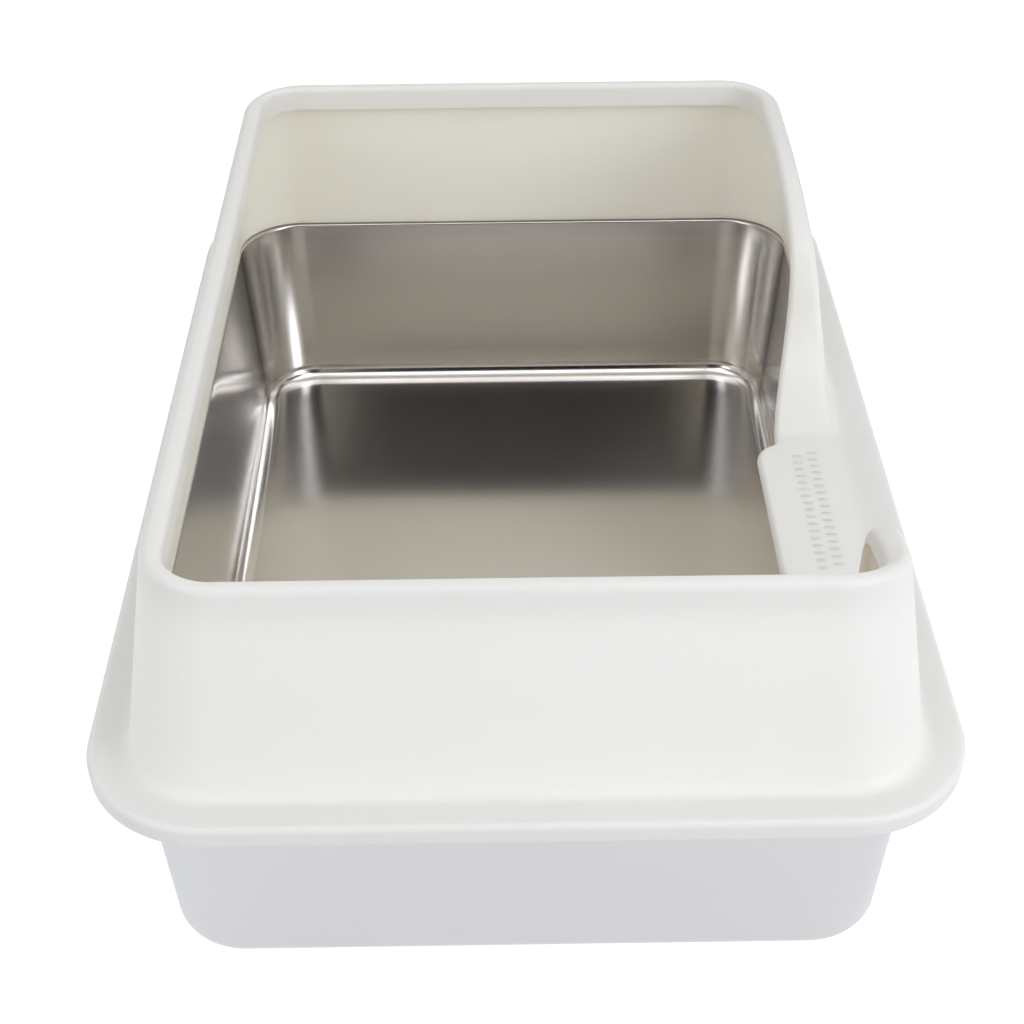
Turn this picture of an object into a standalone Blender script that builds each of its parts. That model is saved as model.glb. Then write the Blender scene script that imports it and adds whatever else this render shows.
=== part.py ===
"""Stainless steel litter box: a deep drawn steel pan and the moulded enclosure that drops over its rim.

Metres, +Z up. The origin is the middle of the pan's underside. The short front end faces -Y, and the
low entry with its tread is cut in the +X wall.
"""
import math
from dataclasses import dataclass

import bmesh
import bpy
from mathutils import Vector

# Every outline in plan is a rounded rectangle, longer than it is wide by this much on each end.
END_EXTRA = 0.095

# Steel pan, measured on the side that faces up and in.
SHEET = 0.0009
PAN_LIP_TOP = 0.1203
PAN_CURL_HALF = 0.2040
PAN_CURL_RADIUS = 0.0028
PAN_CURL_CORNER = 0.0565
PAN_BEND_RADIUS = 0.0032
PAN_MOUTH_HALF = 0.1868
PAN_MOUTH_CORNER = 0.0418
PAN_FLOOR_HALF = 0.1778
PAN_FLOOR_CORNER = 0.0363
PAN_FLOOR_FILLET = 0.0103
PAN_FLOOR_MARGIN = 0.0060

# Moulded enclosure, measured on its outside.
SHELL = 0.0024
SKIRT_HALF = 0.2100
SKIRT_BOTTOM = 0.1128
SKIRT_CORNER = 0.0625
SKIRT_EDGE = 0.0030
SKIRT_DRAFT = 0.0004
FLANGE_TOP = 0.1230
FOOT_HALF = 0.1895
FOOT_CORNER = 0.0410
FOOT_FILLET = 0.0070
FOOT_SHARE = 0.4
RIM_HALF = 0.1732
RIM_CORNER = 0.0380
RIM_TOP = 0.2324
RIM_EDGE = 0.0045
RIM_EDGE_SHARE = 0.4
LIP_HALF = 0.1627
LIP_CORNER = 0.0235
LIP_END_EXTRA = 0.0968
LIP_EDGE = 0.0035
LIP_EDGE_SHARE = 0.35
LIP_DROP = 0.0150
LIP_DROP_AT_ENTRY = 0.0045

# Side entry. Its edge is given by the distance from the entry's middle and the height. It leaves the
# sill at a slant a little beyond the tread, grows steep, and rounds over into a long shallow shoulder.
ENTRY_MIDDLE = -0.060
ENTRY_SLANT_GAP = 0.0065
ENTRY_SLANT = ((0.50, 0.24), (0.88, 0.51))
ENTRY_SLANT_TOP = (0.1245, 0.1640)
ENTRY_UPPER = (
    ((0.1245, 0.1640), (0.1268, 0.1715), (0.1257, 0.1816), (0.1275, 0.1900)),
    ((0.1275, 0.1900), (0.1305, 0.2040), (0.1375, 0.2110), (0.1480, 0.2155)),
)
ENTRY_SHOULDER = ((0.1480, 0.2155), (0.1700, 0.2248), (0.2030, 0.2324), (0.2380, 0.2324))
SILL_EDGE_INSET = 0.0040
SILL_INSET_FADE_HEIGHT = 0.0380
SILL_BLEND_HEIGHT = 0.0120
LIP_FADE_FROM = 0.1950
LIP_FADE_TO = 0.2280
STEEP_FROM = 7
STEEP_FEET = (0.1225, 0.1510)
TREAD_MIDDLE = -0.067
TREAD_HALF_WIDTH = 0.1380
TREAD_HALF_LENGTH = 0.0670
TREAD_CORNER = 0.0165
TREAD_SWEEP = math.radians(65)
TREAD_ROOT_HALF = 0.1504
TREAD_ROOT_FILLET = 0.0025
SILL_FLARE_END = 0.1260
SILL_FLARE_POWER = 1.5

# How finely the rounded stretches are divided.
CORNER_STEPS = 8
PROFILE_STEPS = 3
TREAD_STEPS = 5
ENTRY_EDGE_COUNT = 15
SHOULDER_PLACES = (0.160, 0.175, 0.192, 0.212, 0.238)

WHITE_PLASTIC = ((0.870, 0.860, 0.824, 1.0), 0.0, 0.42)
SATIN_STEEL = ((0.700, 0.676, 0.648, 1.0), 1.0, 0.18)
UP = Vector((0.0, 0.0, 1.0))


@dataclass
class Station:
    """One place on the rounded rectangles' way round: a corner's centre and the way its wall faces."""

    angle: float
    across: float
    along: float
    fixed_y: float = None

    def facing(self):
        return Vector((math.cos(self.angle), math.sin(self.angle), 0.0))

    def point(self, half, corner, height, end_extra=END_EXTRA):
        x = self.across * (half - corner) + corner * math.cos(self.angle)
        y = self.along * (half + end_extra - corner) + corner * math.sin(self.angle)
        return Vector((x, y if self.fixed_y is None else self.fixed_y, height))


@dataclass
class Section:
    """One upright section of the enclosure: its foot, its rim's outer edge and its inner edge."""

    station: Station
    ridge: Vector
    inner: Vector
    foot_rise: float


def blend(start, end, share):
    return start + (end - start) * share


def smooth_share(value, low, high):
    share = min(max((value - low) / (high - low), 0.0), 1.0)
    return share * share * (3.0 - 2.0 * share)


def bezier(knots, share):
    """A point on a cubic curve through plane knots."""
    rest = 1.0 - share
    weights = (rest ** 3, 3 * rest * rest * share, 3 * rest * share * share, share ** 3)
    return tuple(sum(w * knot[axis] for w, knot in zip(weights, knots)) for axis in (0, 1))


def fine_points(curves, fine=60):
    """Many points along joined curves, ends included."""
    trail = [bezier(knots, step / fine) for knots in curves for step in range(fine)]
    return trail + [bezier(curves[-1], 1.0)]


def even_points(curves, count):
    """Points spaced evenly along joined curves, ends included."""
    trail = fine_points(curves)
    lengths = [0.0]
    for before, after in zip(trail, trail[1:]):
        lengths.append(lengths[-1] + math.dist(before, after))
    picked = []
    for number in range(count):
        target = lengths[-1] * number / (count - 1)
        nearest = min(range(len(trail)), key=lambda place: abs(lengths[place] - target))
        picked.append(trail[nearest])
    return picked


def turn(start, corner, end, steps):
    """Points of a round turn from start to end, with its sharp corner given."""
    weight = math.sqrt(0.5)
    points = []
    for step in range(steps + 1):
        share = step / steps
        rest = 1.0 - share
        pull = 2.0 * weight * share * rest
        total = rest * rest + pull + share * share
        points.append((start * rest * rest + corner * pull + end * share * share) / total)
    return points


def arc(centre, radius, from_degrees, to_degrees, steps):
    """Points (half width, height) of a round stretch of a section."""
    angles = [blend(from_degrees, to_degrees, step / steps) for step in range(steps + 1)]
    return [(centre[0] + radius * math.cos(math.radians(a)),
             centre[1] + radius * math.sin(math.radians(a))) for a in angles]


def corner_stations(across, along, steps):
    """Stations round one corner, anticlockwise seen from above."""
    middle = math.atan2(along, across)
    quarter = math.pi / 4
    return [Station(blend(middle - quarter, middle + quarter, step / steps), across, along)
            for step in range(steps + 1)]


def pan_stations():
    """Stations all the way round the pan, with one more in the middle of each side."""
    stations = []
    for across, along, side_angle in ((1, -1, 0.0), (1, 1, math.pi / 2),
                                      (-1, 1, math.pi), (-1, -1, -math.pi / 2)):
        stations += corner_stations(across, along, CORNER_STEPS)
        along_side = abs(math.sin(side_angle)) < 0.5
        stations.append(Station(side_angle, across if along_side else 0.0, 0.0 if along_side else along))
    return stations


def pan_profile():
    """The pan's section: (half width, plan corner radius, height), from the curl to the floor."""
    curl = arc((PAN_CURL_HALF, PAN_LIP_TOP - PAN_CURL_RADIUS), PAN_CURL_RADIUS, -130, 90, 5)
    bend_centre = (PAN_MOUTH_HALF + PAN_BEND_RADIUS, PAN_LIP_TOP - PAN_BEND_RADIUS)
    bend = arc(bend_centre, PAN_BEND_RADIUS, 90, 186, PROFILE_STEPS)
    slope = (PAN_MOUTH_HALF - PAN_FLOOR_HALF) / (bend_centre[1] - SHEET)
    lean = math.degrees(math.atan(slope))
    fillet_half = PAN_FLOOR_HALF - PAN_FLOOR_FILLET * math.tan(math.radians((90 - lean) / 2))
    fillet = arc((fillet_half, SHEET + PAN_FLOOR_FILLET), PAN_FLOOR_FILLET, -lean, -90, PROFILE_STEPS + 1)
    points = curl + bend + fillet + [(fillet_half - PAN_FLOOR_MARGIN, SHEET)]
    return [(half, pan_corner(half), height) for half, height in points]


def pan_corner(half):
    """Plan radius of the pan's corners at a half width: one rate on the wall, another on the lip."""
    if half > PAN_MOUTH_HALF:
        share = (half - PAN_MOUTH_HALF) / (PAN_CURL_HALF - PAN_MOUTH_HALF)
        return blend(PAN_MOUTH_CORNER, PAN_CURL_CORNER, share)
    if half > PAN_FLOOR_HALF:
        share = (half - PAN_FLOOR_HALF) / (PAN_MOUTH_HALF - PAN_FLOOR_HALF)
        return blend(PAN_FLOOR_CORNER, PAN_MOUTH_CORNER, share)
    return PAN_FLOOR_CORNER - (PAN_FLOOR_HALF - half)


def wall_share(height):
    return (RIM_TOP - height) / (RIM_TOP - FLANGE_TOP)


def wall_half(height):
    return blend(RIM_HALF, FOOT_HALF, wall_share(height))


def wall_corner(height):
    return blend(RIM_CORNER, FOOT_CORNER, wall_share(height))


def entry_edge(direction):
    """The curves of the entry's edge on one side, from the sill up to where its shoulder begins."""
    start = (tread_reach(direction) + ENTRY_SLANT_GAP, FLANGE_TOP)
    pulls = [(blend(start[0], ENTRY_SLANT_TOP[0], along), blend(start[1], ENTRY_SLANT_TOP[1], rise))
             for along, rise in ENTRY_SLANT]
    return ((start, *pulls, ENTRY_SLANT_TOP),) + ENTRY_UPPER


def rim_height(direction, distance):
    """Height of the rim at a distance along it from the entry's middle."""
    trail = fine_points(entry_edge(direction) + (ENTRY_SHOULDER,))
    if distance <= trail[0][0]:
        return FLANGE_TOP
    for before, after in zip(trail, trail[1:]):
        if before[0] < distance <= after[0]:
            return blend(before[1], after[1], (distance - before[0]) / (after[0] - before[0]))
    return RIM_TOP


def plain_section(station, height=RIM_TOP):
    """A section away from the entry: the rim is a flat band between the wall and the hanging lip."""
    ridge = station.point(wall_half(height), wall_corner(height), height)
    inner = station.point(LIP_HALF, LIP_CORNER, height, LIP_END_EXTRA)
    return Section(station, ridge, inner, height - FLANGE_TOP)


def entry_section(direction, foot, ridge, inner):
    """A section of the entry. Direction is +1 towards the back of the box and -1 towards the front.

    foot is a distance from the entry's middle, ridge a distance and a height, and inner a half width
    and a distance.
    """
    rise = ridge[1] - FLANGE_TOP
    inset = SILL_EDGE_INSET * (1.0 - smooth_share(rise, 0.0, SILL_INSET_FADE_HEIGHT))
    station = Station(0.0, 1.0, 0.0, ENTRY_MIDDLE + direction * foot)
    ridge_point = Vector((wall_half(ridge[1]) - inset, ENTRY_MIDDLE + direction * ridge[0], ridge[1]))
    inner_point = Vector((inner[0], ENTRY_MIDDLE + direction * inner[1], ridge[1]))
    return Section(station, ridge_point, inner_point, rim_height(direction, foot) - FLANGE_TOP)


def tread_reach(direction):
    """Distance from the entry's middle to the tread's end on one side."""
    return TREAD_HALF_LENGTH + direction * (TREAD_MIDDLE - ENTRY_MIDDLE)


def sill_inner(direction, distance):
    """Half width of the entry's inner edge beyond the tread, which flares out to meet the lip's."""
    start = tread_reach(direction)
    share = min(max((distance - start) / (SILL_FLARE_END - start), 0.0), 1.0)
    return blend(TREAD_ROOT_HALF, LIP_HALF, share ** SILL_FLARE_POWER)


def tread_outline(direction):
    """Half of the tread's inner edge, (half width, distance), from its middle to the entry's end."""
    reach = tread_reach(direction)
    straight = reach - TREAD_CORNER
    points = [(TREAD_HALF_WIDTH, straight * share) for share in (0.33, 0.67)]
    centre = TREAD_HALF_WIDTH + TREAD_CORNER
    for step in range(TREAD_STEPS + 1):
        angle = TREAD_SWEEP * step / TREAD_STEPS
        points.append((centre - TREAD_CORNER * math.cos(angle), straight + TREAD_CORNER * math.sin(angle)))
    beyond = reach + TREAD_ROOT_FILLET
    root = turn(Vector(points[-1]), Vector((TREAD_ROOT_HALF, reach)),
                Vector((sill_inner(direction, beyond), beyond)), PROFILE_STEPS)
    points += [tuple(point) for point in root[1:]]
    last = entry_edge(direction)[0][0][0] - 0.001
    points.append((sill_inner(direction, last), last))
    return points


def entry_half(direction):
    """Sections from beside the entry's middle to the rim's full height, or to the front corner."""
    outline = tread_outline(direction)
    sections = []
    for number, inner in enumerate(outline):
        distance = blend(inner[1], outline[-1][1] * (number + 1) / len(outline), 0.5)
        sections.append(entry_section(direction, distance, (distance, FLANGE_TOP), inner))
    edge = even_points(entry_edge(direction), ENTRY_EDGE_COUNT)
    for number, (distance, height) in enumerate(edge):
        share = (number - STEEP_FROM) / (ENTRY_EDGE_COUNT - 1 - STEEP_FROM)
        foot = distance if share < 0.0 else blend(*STEEP_FEET, share)
        inner = (sill_inner(direction, distance), distance)
        sections.append(entry_section(direction, foot, (distance, height), inner))
    reach = SHOULDER_PLACES if direction > 0 else SHOULDER_PLACES[:1]
    for distance in reach:
        place = ENTRY_MIDDLE + direction * distance
        sections.append(plain_section(Station(0.0, 1.0, 0.0, place), rim_height(direction, distance)))
    return sections


def front_entry_corner():
    """Sections round the front corner beside the entry, where the rim still climbs to full height."""
    sections = []
    for station in corner_stations(1, -1, CORNER_STEPS):
        way = station.point(RIM_HALF, RIM_CORNER, 0.0).y
        start = -(RIM_HALF + END_EXTRA - RIM_CORNER)
        straight = ENTRY_MIDDLE - start
        distance = straight + RIM_CORNER * abs(station.angle) if way <= start else straight
        sections.append(plain_section(station, rim_height(-1, distance)))
    return sections


def enclosure_sections():
    """All sections, anticlockwise from the front corner beside the entry."""
    middle = entry_section(1, 0.0, (0.0, FLANGE_TOP), (TREAD_HALF_WIDTH, 0.0))
    sections = front_entry_corner() + entry_half(-1)[::-1] + [middle] + entry_half(1)
    for across, along, side in ((1, 1, Station(math.pi / 2, 0.0, 1.0)),
                                (-1, 1, Station(math.pi, -1.0, 0.0)),
                                (-1, -1, Station(-math.pi / 2, 0.0, -1.0))):
        sections += [plain_section(station) for station in corner_stations(across, along, CORNER_STEPS)]
        sections.append(plain_section(side))
    return sections


def way_along(points, place):
    """Direction in which a closed row of points runs past one of them."""
    return (points[(place + 1) % len(points)] - points[place - 1]).normalized()


def turn_of_wall(start, corner, end, start_normal, end_normal):
    """A round turn of the wall as (point, outward normal) pairs."""
    normals = [start_normal.slerp(end_normal, step / PROFILE_STEPS) for step in range(PROFILE_STEPS + 1)]
    return list(zip(turn(start, corner, end, PROFILE_STEPS), normals))


def wall_normal(station, rise):
    """Outward normal of the drafted wall, which lies down to the flange where the wall dies out."""
    lean = math.atan2(FOOT_HALF - RIM_HALF, RIM_TOP - FLANGE_TOP)
    upright = station.facing() * math.cos(lean) + UP * math.sin(lean)
    return UP.slerp(upright, smooth_share(rise, 0.0, SILL_BLEND_HEIGHT))


def skirt_profile(station):
    """The skirt from its lower edge up and over its rounded top."""
    facing = station.facing()
    lower = station.point(SKIRT_HALF - SKIRT_DRAFT, SKIRT_CORNER - SKIRT_DRAFT, SKIRT_BOTTOM)
    start = station.point(SKIRT_HALF, SKIRT_CORNER, FLANGE_TOP - SKIRT_EDGE)
    corner = station.point(SKIRT_HALF, SKIRT_CORNER, FLANGE_TOP)
    end = station.point(SKIRT_HALF - SKIRT_EDGE, SKIRT_CORNER - SKIRT_EDGE, FLANGE_TOP)
    return [(lower, facing)] + turn_of_wall(start, corner, end, facing, UP)


def foot_profile(station, rise):
    """The hollow turn from the flange up into the wall, lower where the wall is low."""
    top = FLANGE_TOP + min(FOOT_FILLET, rise * FOOT_SHARE)
    start = station.point(FOOT_HALF + FOOT_FILLET, FOOT_CORNER + FOOT_FILLET, FLANGE_TOP)
    corner = station.point(FOOT_HALF, FOOT_CORNER, FLANGE_TOP)
    end = station.point(wall_half(top), wall_corner(top), top)
    return turn_of_wall(start, corner, end, UP, wall_normal(station, rise))


def rim_profile(sections, place):
    """Over the rim: outer edge, band, inner edge and the lip that hangs from it."""
    section = sections[place]
    facing = section.station.facing()
    ridge_way = way_along([each.ridge for each in sections], place)
    inner_way = way_along([each.inner for each in sections], place)
    rise = section.ridge.z - FLANGE_TOP
    outward = wall_normal(section.station, rise)
    wall_up = wall_normal(section.station, RIM_TOP).cross(ridge_way).normalized()
    band_up = facing.cross(ridge_way).normalized()
    inward = band_up.cross(inner_way).normalized()
    band = (section.ridge - section.inner).length
    rim_edge = min(RIM_EDGE, band * RIM_EDGE_SHARE)
    lip_edge = min(LIP_EDGE, band * LIP_EDGE_SHARE)
    outer = turn_of_wall(section.ridge - wall_up * min(rim_edge, rise * RIM_EDGE_SHARE), section.ridge,
                         section.ridge - facing * rim_edge, outward, band_up)
    share = smooth_share(section.ridge.z, LIP_FADE_FROM, LIP_FADE_TO)
    drop = blend(LIP_DROP_AT_ENTRY, LIP_DROP, share)
    lip = turn_of_wall(section.inner - inward * lip_edge, section.inner,
                       section.inner - band_up * lip_edge, band_up, inward)
    return outer + lip + [(section.inner - band_up * drop, inward)]


def enclosure_columns():
    """All sections as columns of (point, outward normal) pairs on the moulding's outside."""
    sections = enclosure_sections()
    return [skirt_profile(section.station) + foot_profile(section.station, section.foot_rise)
            + rim_profile(sections, place) for place, section in enumerate(sections)]


def inner_column(column):
    """The same column on the inside of the wall, with the foot's inner corner left square."""
    inside = [point - normal * SHELL for point, normal in column]
    first = PROFILE_STEPS + 2
    last = first + PROFILE_STEPS
    start, top = inside[first], inside[last]
    flat = Vector((start.x - top.x, start.y - top.y, 0.0)).normalized()
    slope = (FOOT_HALF - RIM_HALF) / (RIM_TOP - FLANGE_TOP)
    corner = top + (flat * slope - UP) * (top.z - start.z)
    for row in range(first + 1, last):
        share = 2.0 * (row - first) / (last - first)
        inside[row] = blend(start, corner, share) if share <= 1.0 else blend(corner, top, share - 1.0)
    return inside


def ring_faces(build, grid, closed_section):
    """Faces round the box between columns of vertices."""
    rows = len(grid[0]) if closed_section else len(grid[0]) - 1
    for here, ahead in zip(grid, grid[1:] + grid[:1]):
        for row in range(rows):
            above = (row + 1) % len(here)
            build.faces.new((here[row], ahead[row], ahead[above], here[above]))


def material(name, finish):
    colour, metallic, roughness = finish
    made = bpy.data.materials.new(name)
    made.use_nodes = True
    shader = made.node_tree.nodes["Principled BSDF"]
    shader.inputs["Base Color"].default_value = colour
    shader.inputs["Metallic"].default_value = metallic
    shader.inputs["Roughness"].default_value = roughness
    made.diffuse_color = colour
    return made


def add_object(name, build, finish, collection):
    """Turns built geometry into a smooth-shaded object with its own material."""
    mesh = bpy.data.meshes.new(name)
    build.to_mesh(mesh)
    build.free()
    mesh.shade_smooth()
    mesh.set_sharp_from_angle(angle=math.radians(40))
    mesh.materials.append(material(name, finish))
    made = bpy.data.objects.new(name, mesh)
    collection.objects.link(made)
    return made


def make_pan(collection):
    """Drawn steel pan: an open sheet from curl to floor, given its thickness by Solidify."""
    build = bmesh.new()
    profile = pan_profile()
    grid = [[build.verts.new(station.point(*row)) for row in profile] for station in pan_stations()]
    ring_faces(build, grid, closed_section=False)
    build.faces.new([column[-1] for column in grid])
    pan = add_object("litter_pan", build, SATIN_STEEL, collection)
    sheet = pan.modifiers.new("sheet", "SOLIDIFY")
    sheet.thickness = SHEET
    sheet.offset = -1.0
    sheet.use_even_offset = True
    sheet.use_quality_normals = True
    return pan


def make_enclosure(collection):
    """High-sided moulding: flange, wall, folded rim, side entry and tread in one closed section."""
    lift_axis = bpy.data.objects.new("enclosure_lift_axis", None)
    lift_axis.location = (0.0, 0.0, FLANGE_TOP)
    collection.objects.link(lift_axis)
    build = bmesh.new()
    seat = Vector((0.0, 0.0, FLANGE_TOP))
    grid = []
    for column in enclosure_columns():
        section = [point for point, _ in column] + inner_column(column)[::-1]
        grid.append([build.verts.new(point - seat) for point in section])
    ring_faces(build, grid, closed_section=True)
    enclosure = add_object("enclosure", build, WHITE_PLASTIC, collection)
    enclosure.parent = lift_axis
    return enclosure


def main():
    for leftover in list(bpy.data.objects):
        bpy.data.objects.remove(leftover, do_unlink=True)
    collection = bpy.data.collections.new("stainless_steel_litter_box")
    bpy.context.scene.collection.children.link(collection)
    make_pan(collection)
    make_enclosure(collection)


main()
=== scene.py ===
"""Looks of a stainless steel litter box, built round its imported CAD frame.

A drawn steel pan, the moulded enclosure that drops over its rim, and the raised grip on the entry's sill,
in a plain pale studio. Metres, +Z up, the short front end facing -Y and the low entry in the +X wall.
"""
import logging
import math
from dataclasses import dataclass, field
from enum import Enum
from typing import Iterable, List, Mapping, Optional, Sequence, Tuple, Union

import bmesh
import bpy
from mathutils import Matrix, Vector


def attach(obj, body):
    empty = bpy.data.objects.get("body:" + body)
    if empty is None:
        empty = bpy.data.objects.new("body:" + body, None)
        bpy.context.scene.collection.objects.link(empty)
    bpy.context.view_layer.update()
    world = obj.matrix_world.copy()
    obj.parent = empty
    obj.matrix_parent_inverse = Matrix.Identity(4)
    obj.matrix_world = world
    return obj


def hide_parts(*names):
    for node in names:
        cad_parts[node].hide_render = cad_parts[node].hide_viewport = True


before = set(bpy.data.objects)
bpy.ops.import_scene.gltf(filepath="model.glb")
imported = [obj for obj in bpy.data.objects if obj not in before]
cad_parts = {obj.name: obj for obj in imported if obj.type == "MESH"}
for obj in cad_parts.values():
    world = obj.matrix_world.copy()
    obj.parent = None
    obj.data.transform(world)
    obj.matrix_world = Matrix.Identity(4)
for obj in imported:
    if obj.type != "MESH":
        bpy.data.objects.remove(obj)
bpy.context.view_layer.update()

LOG = logging.getLogger("litter_box")
UP = Vector((0.0, 0.0, 1.0))
# Tints of the soft surroundings, of the softboxes, and of the floor where metal mirrors it.
DAYLIGHT = (0.980, 0.987, 1.022)
LAMPLIGHT = (0.950, 0.998, 1.080)
FLOORLIGHT = (0.925, 0.985, 1.080)
# Attribute of the plastic's vertices: 1 on the inner side of the wall, where the colour is tinted with
# painted warm bounce light.
PAINTED_BOUNCE_SIDE = "inside"
# Less z squared, it is the level share of a direction, and never nil.
JUST_OVER_ONE = 1.0001
# Where nearly all of a noise texture's values lie.
NOISE_RANGE = (0.3, 0.7)

Colour = Tuple[float, float, float]
Spot = Tuple[float, float, float]
Knot = Tuple[float, float]
Socket = bpy.types.NodeSocket
Value = Union[float, int, Socket]
Given = Union[Value, Sequence[float], bpy.types.Material]
Blendable = Union[float, Vector]
Skin = List[Tuple[Vector, Vector]]


class Body(Enum):
    """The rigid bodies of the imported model."""

    PAN = "pan"
    ENCLOSURE = "enclosure"


class Slot(Enum):
    """The record's material slots."""

    STEEL = "satin_steel"
    PLASTIC = "white_plastic"


class Towards(Enum):
    """Which end of the box a half of the entry runs towards."""

    BACK = 1
    FRONT = -1


# ---------------------------------------------------------------- small sums


def blend(start: Blendable, end: Blendable, share: float) -> Blendable:
    """Value or vector at a share of the way from start to end."""
    return start + (end - start) * share


def smooth_share(value: float, low: float, high: float) -> float:
    """Share of the way from low to high, eased at both ends."""
    share = min(max((value - low) / (high - low), 0.0), 1.0)
    return share * share * (3.0 - 2.0 * share)


def bezier(knots: Sequence[Knot], share: float) -> Knot:
    """A point on a cubic curve.

    Args:
        knots: the curve's four control points.
        share: how far along it, from 0 to 1.

    Returns:
        The point's two coordinates.
    """
    rest = 1.0 - share
    weights = (rest ** 3, 3 * rest * rest * share, 3 * rest * share * share, share ** 3)
    return tuple(sum(w * knot[axis] for w, knot in zip(weights, knots)) for axis in (0, 1))


def round_turn(start: Vector, corner: Vector, end: Vector, steps: int) -> List[Vector]:
    """Points of a round turn.

    Args:
        start: where the turn begins.
        corner: the sharp corner that it rounds.
        end: where it ends.
        steps: how many stretches it has.

    Returns:
        The points, both ends included.
    """
    weight = math.sqrt(0.5)
    points = []
    for step in range(steps + 1):
        share = step / steps
        rest = 1.0 - share
        pull = 2.0 * weight * share * rest
        total = rest * rest + pull + share * share
        points.append((start * rest * rest + corner * pull + end * share * share) / total)
    return points


# ---------------------------------------------------------------- node trees


class Graph:
    """A node tree being wired, for a material, the world or geometry."""

    def __init__(self, tree: bpy.types.NodeTree) -> None:
        """Starts on an existing tree."""
        self.tree = tree

    def add(self, kind: str, inputs: Optional[Mapping[str, Given]] = None,
            **settings: Union[str, bool]) -> bpy.types.Node:
        """Adds a node.

        Args:
            kind: the node's type name.
            inputs: sockets or plain values, by the inputs' names.
            settings: its properties, such as operation.

        Returns:
            The node.
        """
        node = self.tree.nodes.new(kind)
        for name, value in settings.items():
            setattr(node, name, value)
        self.feed_all(node, inputs or {})
        return node

    def feed(self, target: Socket, value: Given) -> None:
        """Links a socket to an input, or sets the input's own value.

        Args:
            target: the input.
            value: a socket or a plain value.
        """
        if isinstance(value, Socket):
            self.tree.links.new(value, target)
        else:
            target.default_value = value

    def feed_all(self, node: bpy.types.Node, inputs: Mapping[str, Given]) -> None:
        """Feeds several inputs of a node by their names."""
        for name, value in inputs.items():
            self.feed(node.inputs[name], value)

    def sum(self, operation: str, *values: Value, clamp: bool = False) -> Socket:
        """One sum on numbers.

        Args:
            operation: a math node's operation.
            values: numbers or sockets.
            clamp: whether the result is held between 0 and 1.

        Returns:
            The socket with the result.
        """
        node = self.add("ShaderNodeMath", operation=operation, use_clamp=clamp)
        for target, value in zip(node.inputs, values):
            self.feed(target, value)
        return node.outputs[0]

    def vector_sum(self, operation: str, *values: Given, output: str = "Vector") -> Socket:
        """One sum on vectors, with the named output.

        Args:
            operation: a vector math node's operation.
            values: vectors or sockets.
            output: which of the node's outputs is wanted.

        Returns:
            The socket with the result.
        """
        node = self.add("ShaderNodeVectorMath", operation=operation)
        for target, value in zip([s for s in node.inputs if s.type == "VECTOR"], values):
            self.feed(target, value)
        return node.outputs[output]

    def join(self, x: Value, y: Value, z: Value) -> Socket:
        """A vector from its three parts.

        Args:
            x: first part.
            y: second part.
            z: third part.

        Returns:
            The socket with the vector.
        """
        node = self.add("ShaderNodeCombineXYZ")
        for target, value in zip(node.inputs, (x, y, z)):
            self.feed(target, value)
        return node.outputs[0]

    def split(self, vector: Socket) -> Sequence[Socket]:
        """The three parts of a vector.

        Args:
            vector: the socket with the vector.

        Returns:
            Three sockets.
        """
        node = self.add("ShaderNodeSeparateXYZ")
        self.feed(node.inputs[0], vector)
        return node.outputs

    def spread(self, value: Value, low: Value, high: Value, to_low: Value, to_high: Value,
               clamp: bool = True, kind: str = "LINEAR") -> Socket:
        """A number carried from one range to another.

        Args:
            value: the number.
            low: the first range's start.
            high: the first range's end.
            to_low: the second range's start.
            to_high: the second range's end.
            clamp: whether the result stays in the second range.
            kind: LINEAR or SMOOTHSTEP.

        Returns:
            The socket with the result.
        """
        node = self.add("ShaderNodeMapRange", clamp=clamp, interpolation_type=kind)
        for target, given in zip(node.inputs, (value, low, high, to_low, to_high)):
            self.feed(target, given)
        return node.outputs[0]

    def noise(self, place: Socket, pitch: float, detail: float) -> Socket:
        """A noise texture.

        Args:
            place: the socket with the coordinates.
            pitch: the texture's scale.
            detail: how many finer layers it has.

        Returns:
            The socket with the noise.
        """
        return self.add("ShaderNodeTexNoise", {"Vector": place, "Scale": pitch,
                                               "Detail": detail}).outputs["Fac"]

    def around(self, noise: Socket, middle: float, swing: float) -> Socket:
        """A value that swings about its middle with a noise."""
        return self.spread(noise, *NOISE_RANGE, middle - swing, middle + swing)

    def mix(self, factor: Socket, low: Given, high: Given, kind: str = "MIX") -> Socket:
        """Two colours mixed.

        Args:
            factor: the socket with the second colour's share.
            low: the first colour, as a socket or four numbers.
            high: the second one.
            kind: how they are mixed.

        Returns:
            The socket with the result.
        """
        return self.add("ShaderNodeMix", {"Factor": factor, "A": low, "B": high}, data_type="RGBA",
                        blend_type=kind).outputs["Result"]

    def varied(self, noise: Socket, colour: Colour, swing: float) -> Socket:
        """A colour that grows a little darker and lighter with a noise.

        Args:
            noise: the socket with the noise.
            colour: the middle colour.
            swing: the largest change, as a share.

        Returns:
            The socket with the colour.
        """
        dark = [channel * (1.0 - swing) for channel in colour]
        light = [channel * (1.0 + swing) for channel in colour]
        return self.mix(noise, (*dark, 1.0), (*light, 1.0))

    def bump(self, height: Socket, strength: float, depth: float) -> Socket:
        """Fine relief for a shader's normal.

        Args:
            height: the socket with the relief.
            strength: how much of it is used.
            depth: its depth in metres.

        Returns:
            The socket with the normal.
        """
        return self.add("ShaderNodeBump", {"Strength": strength, "Distance": depth,
                                           "Height": height}).outputs["Normal"]

    def where(self) -> Socket:
        """Where each point lies."""
        return self.add("GeometryNodeInputPosition").outputs[0]

    def placed(self, geometry: Socket, place: Socket) -> Socket:
        """Geometry with its points set at new places."""
        return self.add("GeometryNodeSetPosition", {"Geometry": geometry, "Position": place}).outputs[0]

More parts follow.
